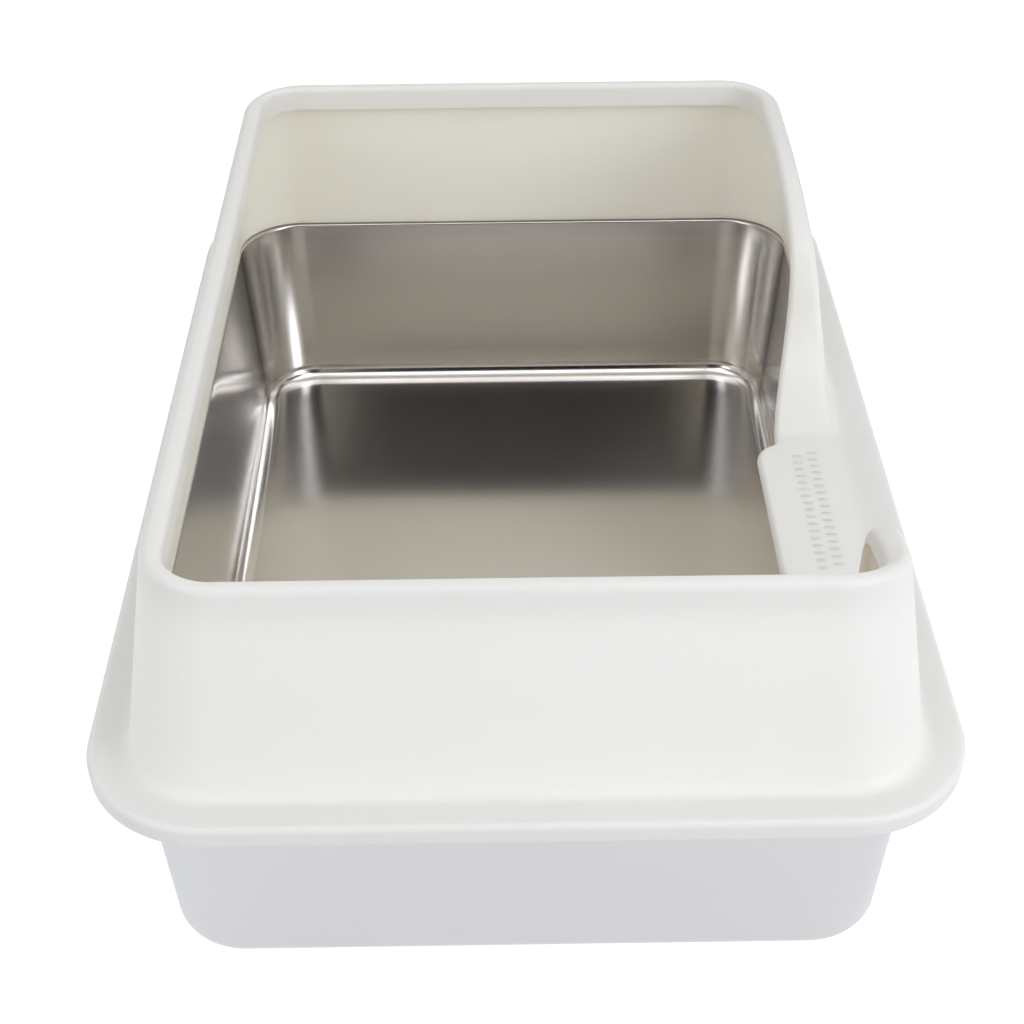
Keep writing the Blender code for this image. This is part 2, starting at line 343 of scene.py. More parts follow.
    def pick(self, value: Socket, limit: float, below: Value, above: Value) -> Socket:
        """One of two numbers, by whether a value is over a limit.

        Args:
            value: the value.
            limit: what it is compared with.
            below: the result up to the limit.
            above: the result over it.

        Returns:
            The socket with the result.
        """
        over = self.sum("GREATER_THAN", value, limit)
        return self.add("GeometryNodeSwitch", {"Switch": over, "False": below, "True": above},
                        input_type="FLOAT").outputs[0]

    def capture(self, curve: Socket, **vectors: Socket) -> Tuple[Socket, ...]:
        """Keeps vectors on a curve's points, for use after it has become a mesh.

        Args:
            curve: the socket with the curve.
            vectors: sockets with the vectors, by name.

        Returns:
            The curve and the kept vectors.
        """
        node = self.add("GeometryNodeCaptureAttribute", domain="POINT")
        for name in vectors:
            node.capture_items.new("VECTOR", name)
        self.feed_all(node, {"Geometry": curve, **vectors})
        return tuple(node.outputs[name] for name in ("Geometry", *vectors))


class GeometryRecipe:
    """A geometry node tree with named sizes, run once and turned into a plain mesh."""

    def __init__(self, name: str) -> None:
        """Starts an empty recipe.

        Args:
            name: the tree's name.
        """
        self.tree = bpy.data.node_groups.new(name, "GeometryNodeTree")
        self.graph = Graph(self.tree)
        self.tree.interface.new_socket("Geometry", in_out="OUTPUT", socket_type="NodeSocketGeometry")
        self.source = self.graph.add("NodeGroupInput")
        self.values = {}

    def size(self, name: str, value: float) -> Socket:
        """Adds a named size and gives the socket that carries it.

        Args:
            name: the input's name.
            value: its value, where a whole number makes a whole-number input.

        Returns:
            The socket inside the tree.
        """
        kind = "NodeSocketInt" if isinstance(value, int) else "NodeSocketFloat"
        made = self.tree.interface.new_socket(name, in_out="INPUT", socket_type=kind)
        self.values[made.identifier] = value
        return self.source.outputs[name]

    def run(self, name: str, geometry: Socket, finish: bpy.types.Material) -> bpy.types.Object:
        """Ends the tree, evaluates it and keeps the result.

        Args:
            name: the new object's name.
            geometry: the socket with the finished geometry.
            finish: the material that it gets.

        Returns:
            An object with a plain mesh and no modifier.
        """
        real = self.graph.add("GeometryNodeRealizeInstances", {"Geometry": geometry}).outputs["Geometry"]
        dressed = self.graph.add("GeometryNodeSetMaterial", {"Geometry": real, "Material": finish})
        self.graph.feed(self.graph.add("NodeGroupOutput").inputs[0], dressed.outputs["Geometry"])
        made = new_object(name, bpy.data.meshes.new(name))
        modifier = made.modifiers.new(name, "NODES")
        modifier.node_group = self.tree
        for identifier, value in self.values.items():
            modifier[identifier] = value
        keep_result(made)
        return made


# ---------------------------------------------------------------- mesh helpers


def new_object(name: str, mesh: bpy.types.Mesh) -> bpy.types.Object:
    """Puts a mesh into the scene as an object at the origin.

    Args:
        name: the object's name.
        mesh: its mesh.

    Returns:
        The object.
    """
    made = bpy.data.objects.new(name, mesh)
    bpy.context.scene.collection.objects.link(made)
    return made


def keep_result(piece: bpy.types.Object) -> None:
    """Replaces a piece's mesh by what its modifiers make of it, and removes them.

    Args:
        piece: the object.
    """
    bpy.context.view_layer.update()
    graph = bpy.context.evaluated_depsgraph_get()
    result = bpy.data.meshes.new_from_object(piece.evaluated_get(graph))
    piece.modifiers.clear()
    piece.data = result


def shade(mesh: bpy.types.Mesh, crease_degrees: float) -> None:
    """Smooth shading with a crease at every edge sharper than the given angle."""
    mesh.shade_smooth()
    mesh.set_sharp_from_angle(angle=math.radians(crease_degrees))


def dress(piece: bpy.types.Object, body: Body, slot: Slot, *stands_for: str) -> bpy.types.Object:
    """Ties a finished piece to the frame.

    Args:
        piece: the finished object.
        body: the body that it moves with.
        slot: the record's slot for its finish; not used.
        stands_for: CAD nodes that it replaces.

    Returns:
        The same object.
    """
    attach(piece, body.value)
    if stands_for:
        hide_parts(*stands_for)
    LOG.info("%s: %d faces on %s", piece.name, len(piece.data.polygons), body.value)
    return piece


# ---------------------------------------------------------------- finishes


def new_material(name: str) -> Tuple[bpy.types.Material, Graph, bpy.types.Node]:
    """Starts a material.

    Args:
        name: the material's name.

    Returns:
        The material, its node tree and its shader.
    """
    made = bpy.data.materials.new(name)
    made.use_nodes = True
    return made, Graph(made.node_tree), made.node_tree.nodes["Principled BSDF"]


@dataclass(frozen=True)
class SatinSteel:
    """Rolled stainless sheet with a fine satin grain along the pan's length."""

    colour: Colour = (0.678, 0.652, 0.624)
    colour_swing: float = 0.012
    roughness: float = 0.175
    roughness_swing: float = 0.012
    anisotropy: float = 0.60
    grain_turn: float = 0.25
    across_grain: Spot = (0.0, 0.15, 1.0)
    grain_depth: float = 0.000004
    grain_strength: float = 0.25
    grain_share: float = 0.6
    grain_pitch: Spot = (2400.0, 60.0, 2400.0)
    cloud_pitch: float = 14.0

    def material(self) -> bpy.types.Material:
        """Builds the material.

        Returns:
            The steel.
        """
        made, graph, shader = new_material("satin_steel")
        place = graph.add("ShaderNodeTexCoord").outputs["Object"]
        grain = graph.noise(graph.vector_sum("MULTIPLY", place, self.grain_pitch), pitch=1.0, detail=2.0)
        cloud = graph.noise(place, self.cloud_pitch, detail=3.0)
        rough = graph.sum("ADD", graph.sum("MULTIPLY", grain, self.grain_share),
                          graph.sum("MULTIPLY", cloud, 1.0 - self.grain_share))
        turned = graph.add("ShaderNodeVectorTransform", {"Vector": self.across_grain}, vector_type="VECTOR",
                           convert_from="OBJECT", convert_to="WORLD")
        graph.feed_all(shader, {
            "Base Color": graph.varied(cloud, self.colour, self.colour_swing),
            "Roughness": graph.around(rough, self.roughness, self.roughness_swing),
            "Normal": graph.bump(grain, self.grain_strength, self.grain_depth),
            "Tangent": turned.outputs[0],
            "Anisotropic": self.anisotropy,
            "Anisotropic Rotation": self.grain_turn,
            "Metallic": 1.0,
        })
        return made


@dataclass(frozen=True)
class WhitePlastic:
    """Satin warm white polypropylene with a fine moulded texture, its inner side tinted warmer and lighter
    with painted bounce light.
    """

    colour: Colour = (0.880, 0.854, 0.778)
    # Painted warm bounce light: multiplies the colour on the wall's inner side, warmer and a little lighter.
    painted_bounce_tint: Colour = (1.074, 1.044, 0.950)
    colour_swing: float = 0.010
    roughness: float = 0.42
    roughness_swing: float = 0.05
    texture_pitch: float = 1400.0
    texture_depth: float = 0.000025
    texture_strength: float = 0.3
    cloud_pitch: float = 9.0
    glow: float = 0.38
    glow_depth: float = 0.016
    gloss: float = 0.35
    glow_radius: Colour = (1.0, 0.95, 0.88)

    def material(self) -> bpy.types.Material:
        """Builds the material.

        Returns:
            The plastic.
        """
        made, graph, shader = new_material("white_plastic")
        place = graph.add("ShaderNodeTexCoord").outputs["Object"]
        fine = graph.noise(place, self.texture_pitch, detail=1.0)
        cloud = graph.noise(place, self.cloud_pitch, detail=2.0)
        inside = graph.add("ShaderNodeAttribute", attribute_name=PAINTED_BOUNCE_SIDE).outputs["Fac"]
        tone = graph.varied(cloud, self.colour, self.colour_swing)
        graph.feed_all(shader, {
            # Painted bounce light: the inner side's colour is multiplied by the warm tint.
            "Base Color": graph.mix(inside, tone, (*self.painted_bounce_tint, 1.0), "MULTIPLY"),
            "Roughness": graph.around(cloud, self.roughness, self.roughness_swing),
            "Normal": graph.bump(fine, self.texture_strength, self.texture_depth),
            "Specular IOR Level": self.gloss,
            "Subsurface Weight": self.glow,
            "Subsurface Radius": self.glow_radius,
            "Subsurface Scale": self.glow_depth,
        })
        return made


# ---------------------------------------------------------------- steel pan


@dataclass
class LitterPan:
    """The drawn pan: a profile carried round a rounded rectangle whose corners change with its width.

    Sizes are those of the sheet's upper side.
    """

    end_extra: float = 0.095
    sheet: float = 0.0009
    curl_half: float = 0.2068
    curl_drop: float = 0.0056
    curl_inner: float = 0.2022
    curl_corner: float = 0.0589
    top: float = 0.1203
    mouth_half: float = 0.1868
    mouth_corner: float = 0.0418
    floor_half: float = 0.1778
    floor_corner: float = 0.0363
    curl_radius: float = 0.0027
    bend_radius: float = 0.0015
    fillet: float = 0.0106
    crown: float = 0.0006
    corner_points: int = 28
    turn_points: int = 12
    side_cuts: int = 14
    wall_cuts: int = 8
    # The points of the section's line get their own places later.
    any_offset: Spot = (0.01, 0.0, 0.0)
    long_stretch: float = 0.05
    weld: float = 0.00002
    crease: float = 50.0

    def long_stretch_cuts(self, graph: Graph, cuts: Value) -> Socket:
        """How often each stretch of a curve is cut: only the long ones are.

        Args:
            graph: the tree being wired.
            cuts: how many cuts a long one gets.

        Returns:
            A whole number for every point of the curve.
        """
        index = graph.add("GeometryNodeInputIndex").outputs[0]
        place = graph.where()
        ahead = graph.add("GeometryNodeFieldAtIndex", {"Index": graph.sum("ADD", index, 1)},
                          data_type="FLOAT_VECTOR", domain="POINT")
        graph.feed([s for s in ahead.inputs if s.type == "VECTOR"][0], place)
        found = [s for s in ahead.outputs if s.type == "VECTOR"][0]
        length = graph.vector_sum("DISTANCE", place, found, output="Value")
        return graph.sum("MULTIPLY", graph.sum("GREATER_THAN", length, self.long_stretch), cuts)

    def rounded(self, graph: Graph, line: Socket, count: Value, radius: Socket, cuts: Value) -> Socket:
        """A line with its corners rounded and its long stretches cut.

        Args:
            graph: the tree being wired.
            line: the socket with the line.
            count: points in each corner.
            radius: the socket with the corners' radius.
            cuts: cuts in each long stretch.

        Returns:
            The socket with the curve.
        """
        fillet = graph.add("GeometryNodeFilletCurve", {"Curve": line, "Count": count, "Radius": radius},
                           mode="POLY")
        return graph.add("GeometryNodeSubdivideCurve", {
            "Curve": fillet.outputs[0], "Cuts": self.long_stretch_cuts(graph, cuts)}).outputs[0]

    def rail(self, recipe: GeometryRecipe) -> Tuple[Socket, ...]:
        """The way round, with each point's place on the inner rectangle and the way it faces.

        Args:
            recipe: the recipe being written.

        Returns:
            The curve, the place from -1 to 1 on both axes, and the outward direction.
        """
        graph = recipe.graph
        corner = recipe.size("Mouth corner radius", self.mouth_corner)
        half = recipe.size("Mouth half width", self.mouth_half)
        extra = recipe.size("Extra half length", self.end_extra)
        points = recipe.size("Points per corner", self.corner_points)
        cuts = recipe.size("Cuts per side", self.side_cuts)
        length = graph.sum("ADD", half, extra)
        outline = graph.add("GeometryNodeCurvePrimitiveQuadrilateral", {
            "Width": graph.sum("MULTIPLY", half, 2.0), "Height": graph.sum("MULTIPLY", length, 2.0)},
            mode="RECTANGLE")
        curve = self.rounded(graph, outline.outputs[0], points, corner, cuts)
        inner = graph.join(graph.sum("SUBTRACT", half, corner), graph.sum("SUBTRACT", length, corner), 1.0)
        turned = graph.vector_sum("MULTIPLY", inner, (-1.0, -1.0, -1.0))
        place = graph.where()
        core = graph.vector_sum("MINIMUM", graph.vector_sum("MAXIMUM", place, turned), inner)
        return graph.capture(curve, share=graph.vector_sum("DIVIDE", core, inner),
                             facing=graph.vector_sum("NORMALIZE", graph.vector_sum("SUBTRACT", place, core)))

    def profile(self, recipe: GeometryRecipe) -> Tuple[Socket, ...]:
        """The section from the curl under the flange to the middle of the floor.

        Args:
            recipe: the recipe being written.

        Returns:
            The curve, and each point's half width and height as a vector.
        """
        graph = recipe.graph
        top = recipe.size("Lip height", self.top)
        low = graph.sum("SUBTRACT", top, recipe.size("Curl depth", self.curl_drop))
        curl = recipe.size("Curl half width", self.curl_half)
        mouth = self.mouth_half
        base = recipe.size("Floor height", self.sheet)
        floor = recipe.size("Floor half width", self.floor_half)
        corners = ((self.curl_inner, low), (curl, low), (curl, top), (mouth, top), (floor, base),
                   (0.0, base))
        radii = (0.0, self.curl_radius, self.curl_radius,
                 recipe.size("Bend radius", self.bend_radius), recipe.size("Floor fillet", self.fillet), 0.0)
        line = graph.add("GeometryNodeMeshLine", {"Count": len(corners), "Offset": self.any_offset})
        as_curve = graph.add("GeometryNodeMeshToCurve", {"Mesh": line.outputs["Mesh"]})
        spots = self.by_index(graph, "VECTOR", [graph.join(half, height, 0.0) for half, height in corners])
        curve = self.rounded(graph, graph.placed(as_curve.outputs[0], spots), self.turn_points,
                             self.by_index(graph, "FLOAT", radii), self.wall_cuts)
        return graph.capture(curve, place=graph.where())

    def by_index(self, graph: Graph, kind: str, values: Iterable[Value]) -> Socket:
        """Picks one of several values by each point's number.

        Args:
            graph: the tree being wired.
            kind: the values' data type.
            values: numbers or sockets.

        Returns:
            The socket with the value of each point.
        """
        node = graph.add("GeometryNodeIndexSwitch", data_type=kind)
        values = list(values)
        while len(node.index_switch_items) < len(values):
            node.index_switch_items.new()
        graph.feed(node.inputs["Index"], graph.add("GeometryNodeInputIndex").outputs[0])
        for number, value in enumerate(values):
            graph.feed(node.inputs[number + 1], value)
        return node.outputs[0]

    def corner_radius(self, graph: Graph, half: Socket) -> Socket:
        """Plan radius of the corners at a half width: one rate on the lip, one on the wall, one on the floor.

        Args:
            graph: the tree being wired.
            half: the socket with the half width.

        Returns:
            The socket with the radius.
        """
        lip = graph.spread(half, self.mouth_half, self.curl_half, self.mouth_corner, self.curl_corner,
                           clamp=False)
        wall = graph.spread(half, self.floor_half, self.mouth_half, self.floor_corner, self.mouth_corner,
                            clamp=False)
        floor = graph.sum("SUBTRACT", half, self.floor_half - self.floor_corner)
        below_lip = graph.pick(half, self.floor_half, floor, wall)
        return graph.sum("MAXIMUM", graph.pick(half, self.mouth_half, below_lip, lip), 0.0)

    def build(self, finish: bpy.types.Material) -> bpy.types.Object:
        """Makes the pan.

        Args:
            finish: the steel.

        Returns:
            The pan as a closed sheet.
        """
        recipe = GeometryRecipe("pan_sheet")
        graph = recipe.graph
        rail, share, facing = self.rail(recipe)
        profile, place = self.profile(recipe)
        sweep = graph.add("GeometryNodeCurveToMesh", {"Curve": rail, "Profile Curve": profile})
        half, height, _ = graph.split(place)
        corner = self.corner_radius(graph, half)
        reach = graph.join(graph.sum("SUBTRACT", half, corner),
                           graph.sum("SUBTRACT", graph.sum("ADD", half, self.end_extra), corner), 0.0)
        core = graph.vector_sum("MULTIPLY", share, reach)
        outward = graph.vector_sum("MULTIPLY", facing, graph.join(corner, corner, 0.0))
        inward_share = graph.sum("DIVIDE", half, self.floor_half - self.fillet)
        arch = graph.sum("SUBTRACT", 1.0, graph.sum("POWER", inward_share, 2.0), clamp=True)
        lift = graph.sum("MULTIPLY", arch, recipe.size("Floor crown", self.crown))
        raised = graph.join(0.0, 0.0, graph.sum("ADD", height, lift))
        spots = graph.vector_sum("ADD", graph.vector_sum("ADD", core, outward), raised)
        joined = graph.add("GeometryNodeMergeByDistance", {
            "Geometry": graph.placed(sweep.outputs[0], spots), "Distance": self.weld})
        pan = recipe.run("pan_sheet", joined.outputs[0], finish)
        self.thicken(pan)
        shade(pan.data, self.crease)
        return pan

    def thicken(self, pan: bpy.types.Object) -> None:
        """Turns the surface upwards and gives it the sheet's thickness.

        Args:
            pan: the object with the surface.
        """
        build = bmesh.new()
        build.from_mesh(pan.data)
        bmesh.ops.recalc_face_normals(build, faces=build.faces)
        floor = min(build.faces, key=lambda face: face.calc_center_median().length)
        if floor.normal.z < 0.0:
            bmesh.ops.reverse_faces(build, faces=build.faces)
        build.to_mesh(pan.data)
        build.free()
        wall = pan.modifiers.new("sheet", "SOLIDIFY")
        wall.thickness = self.sheet
        wall.offset = -1.0
        wall.use_even_offset = True
        wall.use_quality_normals = True
        keep_result(pan)


# ---------------------------------------------------------------- enclosure


@dataclass(frozen=True)
class Station:
    """One place on the way round: a corner's centre and the way its wall faces."""

    angle: float
    across: float
    along: float
    fixed_y: Optional[float] = None

    def facing(self) -> Vector:
        """Outward direction, level."""
        return Vector((math.cos(self.angle), math.sin(self.angle), 0.0))

    def point(self, half: float, corner: float, height: float, end_extra: float) -> Vector:
        """A point on the rounded rectangle of a half width and corner radius.

        Args:
            half: half of the rectangle's width.
            corner: its plan radius.
            height: the point's height.
            end_extra: how much longer than wide the rectangle is at each end.

        Returns:
            The point.
        """
        x = self.across * (half - corner) + corner * math.cos(self.angle)
        y = self.along * (half + end_extra - corner) + corner * math.sin(self.angle)
        return Vector((x, y if self.fixed_y is None else self.fixed_y, height))


@dataclass(frozen=True)
class Section:
    """One upright section: its foot's place, its rim's outer edge and its inner edge."""

    station: Station
    ridge: Vector
    inner: Vector
    foot_rise: float


@dataclass(frozen=True)
class EntryEdge:
    """The rim's height beside the entry, by the distance from the entry's middle.

    It leaves the sill at a slant, grows steep, and rounds over into a long shallow shoulder.
    """

    start: Knot
    slant: Tuple[Knot, ...] = ((0.5, 0.2400), (0.88, 0.5100))
    foot: Knot = (0.1245, 0.1640)
    upper: Tuple[Tuple[Knot, ...], ...] = (
        ((0.1245, 0.1640), (0.1268, 0.1715), (0.1257, 0.1816), (0.1275, 0.1900)),
        ((0.1275, 0.1900), (0.1305, 0.2040), (0.1375, 0.2110), (0.1480, 0.2155)),
    )
    shoulder: Tuple[Knot, ...] = ((0.1480, 0.2155), (0.1700, 0.2248), (0.2030, 0.2324), (0.2380, 0.2324))
    fine: int = 80

    @property
    def steep(self) -> Tuple[Tuple[Knot, ...], ...]:
        """The curves from the sill to the shoulder.

        Returns:
            Control points of each curve.
        """
        pulls = tuple((blend(self.start[0], self.foot[0], along), blend(self.start[1], self.foot[1], rise))
                      for along, rise in self.slant)
        return ((self.start, *pulls, self.foot),) + self.upper

    def trail(self, curves: Iterable[Sequence[Knot]]) -> List[Knot]:
        """Many points along joined curves, ends included.

        Args:
            curves: control points of each curve.

        Returns:
            The points.
        """
        curves = list(curves)
        points = [bezier(knots, step / self.fine) for knots in curves for step in range(self.fine)]
        return points + [bezier(curves[-1], 1.0)]

    def height(self, distance: float) -> float:
        """The rim's height beside the entry.

        Args:
            distance: how far along from the entry's middle.

        Returns:
            The height above the floor.
        """
        trail = self.trail(self.steep + (self.shoulder,))
        if distance <= trail[0][0]:
            return trail[0][1]
        for before, after in zip(trail, trail[1:]):
            if before[0] < distance <= after[0]:
                return blend(before[1], after[1], (distance - before[0]) / (after[0] - before[0]))
        return trail[-1][1]

    def even_points(self, count: int) -> List[Knot]:
        """Points spaced evenly along the steep part, ends included.

        Args:
            count: how many.

        Returns:
            The points.
        """
        trail = self.trail(self.steep)
        lengths = [0.0]
        for before, after in zip(trail, trail[1:]):
            lengths.append(lengths[-1] + math.dist(before, after))
        picked = []
        for number in range(count):
            target = lengths[-1] * number / (count - 1)
            picked.append(trail[min(range(len(trail)), key=lambda place: abs(lengths[place] - target))])
        return picked


@dataclass
class Tread:
    """The tongue that reaches in over the pan from the sill."""

    middle: float = -0.067
    half_width: float = 0.1380
    half_length: float = 0.0670
    corner: float = 0.0165
    sweep: float = math.radians(65)
    root_half: float = 0.1504
    root_fillet: float = 0.0025
    flare_end: float = 0.1260
    flare_power: float = 1.5


@dataclass
class Enclosure:
    """The white moulding: skirt, flange, drafted wall, folded rim, side entry and tread."""

    end_extra: float = 0.095
    shell: float = 0.0024
    skirt_half: float = 0.2100
    skirt_bottom: float = 0.1128
    skirt_corner: float = 0.0625
    skirt_edge: float = 0.0030
    skirt_draft: float = 0.0004
    flange_top: float = 0.1230
    foot_half: float = 0.1895
    foot_corner: float = 0.0410
    foot_fillet: float = 0.0070
    foot_share: float = 0.4
    rim_half: float = 0.1732
    rim_corner: float = 0.0380
    rim_top: float = 0.2324
    rim_edge: float = 0.0045
    rim_edge_share: float = 0.4
    lip_half: float = 0.1627
    lip_corner: float = 0.0235
    lip_end_extra: float = 0.0968
    lip_edge: float = 0.0035
    lip_edge_share: float = 0.35
    lip_drop: float = 0.0150
    lip_drop_at_entry: float = 0.0045
    lip_fade_from: float = 0.1950
    lip_fade_to: float = 0.2280
    entry_middle: float = -0.060
    sill_edge_inset: float = 0.0040
    inset_fade_height: float = 0.0380
    sill_blend_height: float = 0.0120
    slant_gap: float = 0.0065
    steep_feet: Knot = (0.1225, 0.1510)
    foot_evenness: float = 0.5
    corner_steps: int = 24
    profile_steps: int = 7
    tread_steps: int = 14
    entry_count: int = 43
    steep_from: int = 20
    shoulder_count: int = 14
    shoulder_start_gap: float = 0.012
    shoulder_end: float = 0.238
    corner_gap: float = 0.004
    edge_gap: float = 0.001
    tread_cuts: int = 6
    crease: float = 40.0
    tread: Tread = field(default_factory=Tread)

    def wall_share(self, height: float) -> float:
        """Share of the way down the wall."""
        return (self.rim_top - height) / (self.rim_top - self.flange_top)

    def wall_half(self, height: float) -> float:
        """Half width of the wall's outside at a height."""
        return blend(self.rim_half, self.foot_half, self.wall_share(height))

    def wall_corner(self, height: float) -> float:
        """Plan radius of the wall's corners at a height."""
        return blend(self.rim_corner, self.foot_corner, self.wall_share(height))

    def wall_point(self, station: Station, height: float) -> Vector:
        """A point on the wall's outside."""
        return station.point(self.wall_half(height), self.wall_corner(height), height, self.end_extra)

    def corner_stations(self, across: int, along: int) -> List[Station]:
        """Stations round one corner, anticlockwise from above.

        Args:
            across: the corner's side, 1 or -1.
            along: the corner's end, 1 or -1.

        Returns:
            The stations.
        """
        middle = math.atan2(along, across)
        quarter = math.pi / 4
        return [Station(blend(middle - quarter, middle + quarter, step / self.corner_steps), across, along)
                for step in range(self.corner_steps + 1)]

    def plain_section(self, station: Station, height: Optional[float] = None) -> Section:
        """A section away from the entry, at full height or at a given one.

        Args:
            station: its place.
            height: the rim's height there, or none for the full one.

        Returns:
            The section.
        """
        height = self.rim_top if height is None else height
        inner = station.point(self.lip_half, self.lip_corner, height, self.lip_end_extra)
        return Section(station, self.wall_point(station, height), inner, height - self.flange_top)

    def entry_section(self, towards: Towards, foot: float, ridge: Knot, inner: Spot) -> Section:
        """A section of the entry.

        Args:
            towards: the half of the entry that it belongs to.
            foot: the foot's distance from the entry's middle.
            ridge: distance and height of the outer edge.
            inner: half width, distance and height of the inner edge.

        Returns:
            The section.
        """
        rise = ridge[1] - self.flange_top
        inset = self.sill_edge_inset * (1.0 - smooth_share(rise, 0.0, self.inset_fade_height))
        way = towards.value
        station = Station(0.0, 1.0, 0.0, self.entry_middle + way * foot)
        outer = Vector((self.wall_half(ridge[1]) - inset, self.entry_middle + way * ridge[0], ridge[1]))
        inside = Vector((inner[0], self.entry_middle + way * inner[1], inner[2]))
        return Section(station, outer, inside, self.edge(towards).height(foot) - self.flange_top)

    def edge(self, towards: Towards) -> EntryEdge:
        """The rim's edge on one side of the entry, which begins a little beyond the tread."""
        return EntryEdge((self.tread_reach(towards) + self.slant_gap, self.flange_top))

    def tread_reach(self, towards: Towards) -> float:
        """Distance from the entry's middle to the tread's end on one side."""
        return self.tread.half_length + towards.value * (self.tread.middle - self.entry_middle)

    def sill_inner(self, towards: Towards, distance: float) -> float:
        """Half width of the entry's inner edge beyond the tread, which flares out to meet the lip's.

        Args:
            towards: the half of the entry.
            distance: how far along from the entry's middle.

        Returns:
            The half width.
        """
        start = self.tread_reach(towards)
        share = min(max((distance - start) / (self.tread.flare_end - start), 0.0), 1.0)
        return blend(self.tread.root_half, self.lip_half, share ** self.tread.flare_power)

    def tread_outline(self, towards: Towards) -> List[Knot]:
        """Half of the entry's inner edge as half widths and distances from the middle.

        Args:
            towards: the half of the entry.

        Returns:
            Points from beside the middle to just before the rim begins to rise.
        """
        tread = self.tread
        reach = self.tread_reach(towards)
        straight = reach - tread.corner
        points = [(tread.half_width, straight * number / self.tread_cuts)
                  for number in range(1, self.tread_cuts)]
        centre = tread.half_width + tread.corner
        for step in range(self.tread_steps + 1):
            angle = tread.sweep * step / self.tread_steps
            points.append((centre - tread.corner * math.cos(angle),
                           straight + tread.corner * math.sin(angle)))
        beyond = reach + tread.root_fillet
        root = round_turn(Vector(points[-1]), Vector((tread.root_half, reach)),
                          Vector((self.sill_inner(towards, beyond), beyond)), self.profile_steps)
        points += [tuple(point) for point in root[1:]]
        last = self.edge(towards).start[0] - self.edge_gap
        return points + [(self.sill_inner(towards, last), last)]

    def entry_half(self, towards: Towards) -> List[Section]:
        """Sections from beside the entry's middle to full height, or to the front corner.

        Args:
            towards: the half of the entry.

        Returns:
            The sections.
        """
        outline = self.tread_outline(towards)
        edge = self.edge(towards)
        sections = []
        for number, (half, distance) in enumerate(outline):
            even = outline[-1][1] * (number + 1) / len(outline)
            outer = blend(distance, even, self.foot_evenness)
            sections.append(self.entry_section(towards, outer, (outer, self.flange_top),
                                               (half, distance, self.flange_top)))
        for number, (distance, height) in enumerate(edge.even_points(self.entry_count)):
            share = (number - self.steep_from) / (self.entry_count - 1 - self.steep_from)
            foot = distance if share < 0.0 else blend(*self.steep_feet, share)
            inner = (self.sill_inner(towards, distance), distance, height)
            sections.append(self.entry_section(towards, foot, (distance, height), inner))
        return sections + self.shoulder_sections(towards)

    def shoulder_sections(self, towards: Towards) -> List[Section]:
        """Sections of the straight wall beside the entry, where the rim climbs its last stretch.

        Args:
            towards: the half of the entry.

        Returns:
            The sections.
        """
        edge = self.edge(towards)
        first = edge.shoulder[0][0] + self.shoulder_start_gap
        sections = []
        for number in range(self.shoulder_count):
            distance = blend(first, self.shoulder_end, number / (self.shoulder_count - 1))
            place = self.entry_middle + towards.value * distance
            if towards is Towards.FRONT and place < self.front_corner_start() + self.corner_gap:
                break
            sections.append(self.plain_section(Station(0.0, 1.0, 0.0, place), edge.height(distance)))
        return sections

    def front_corner_start(self) -> float:
        """Where the front corners begin, along the box."""
        return -(self.rim_half + self.end_extra - self.rim_corner)

    def front_entry_corner(self) -> List[Section]:
        """Sections round the front corner beside the entry, where the rim still climbs.

        Returns:
            The sections.
        """
        straight = self.entry_middle - self.front_corner_start()
        edge = self.edge(Towards.FRONT)
        return [self.plain_section(station, edge.height(straight + self.rim_corner * abs(station.angle)))
                for station in self.corner_stations(1, -1)]

    def sections(self) -> List[Section]:
        """All sections, anticlockwise from the front corner beside the entry.

        Returns:
            The sections.
        """
        middle = self.entry_section(Towards.BACK, 0.0, (0.0, self.flange_top),
                                    (self.tread.half_width, 0.0, self.flange_top))
        around = self.front_entry_corner() + self.entry_half(Towards.FRONT)[::-1]
        around += [middle] + self.entry_half(Towards.BACK)
        for across, along, side in ((1, 1, Station(math.pi / 2, 0.0, 1.0)),
                                    (-1, 1, Station(math.pi, -1.0, 0.0)),
                                    (-1, -1, Station(-math.pi / 2, 0.0, -1.0))):
            around += [self.plain_section(station) for station in self.corner_stations(across, along)]
            around.append(self.plain_section(side))
        return around

    def turned(self, start: Vector, corner: Vector, end: Vector, start_normal: Vector,
               end_normal: Vector) -> Skin:
        """A round turn of the wall with its outward directions.

        Args:
            start: where the turn begins.
            corner: its sharp corner.
            end: where it ends.
            start_normal: outward direction at its start.
            end_normal: outward direction at its end.

        Returns:
            Pairs of point and direction.
        """
        steps = self.profile_steps
        normals = [start_normal.slerp(end_normal, step / steps) for step in range(steps + 1)]
        return list(zip(round_turn(start, corner, end, steps), normals))

    def wall_normal(self, station: Station, rise: float) -> Vector:
        """Outward direction of the drafted wall, which lies down to the flange where the wall dies out.

        Args:
            station: the place on the way round.
            rise: the wall's height above the flange.

        Returns:
            A unit vector.
        """
        lean = math.atan2(self.foot_half - self.rim_half, self.rim_top - self.flange_top)
        upright = station.facing() * math.cos(lean) + UP * math.sin(lean)
        return UP.slerp(upright, smooth_share(rise, 0.0, self.sill_blend_height))

    def skirt_profile(self, station: Station) -> Skin:
        """The skirt from its lower edge up and over its rounded top.

        Args:
            station: the place on the way round.

        Returns:
            Pairs of point and outward direction.
        """
        facing = station.facing()
        half, corner, extra = self.skirt_half, self.skirt_corner, self.end_extra
        lower = station.point(half - self.skirt_draft, corner - self.skirt_draft, self.skirt_bottom, extra)
        start = station.point(half, corner, self.flange_top - self.skirt_edge, extra)
        sharp = station.point(half, corner, self.flange_top, extra)
        end = station.point(half - self.skirt_edge, corner - self.skirt_edge, self.flange_top, extra)
        return [(lower, facing)] + self.turned(start, sharp, end, facing, UP)

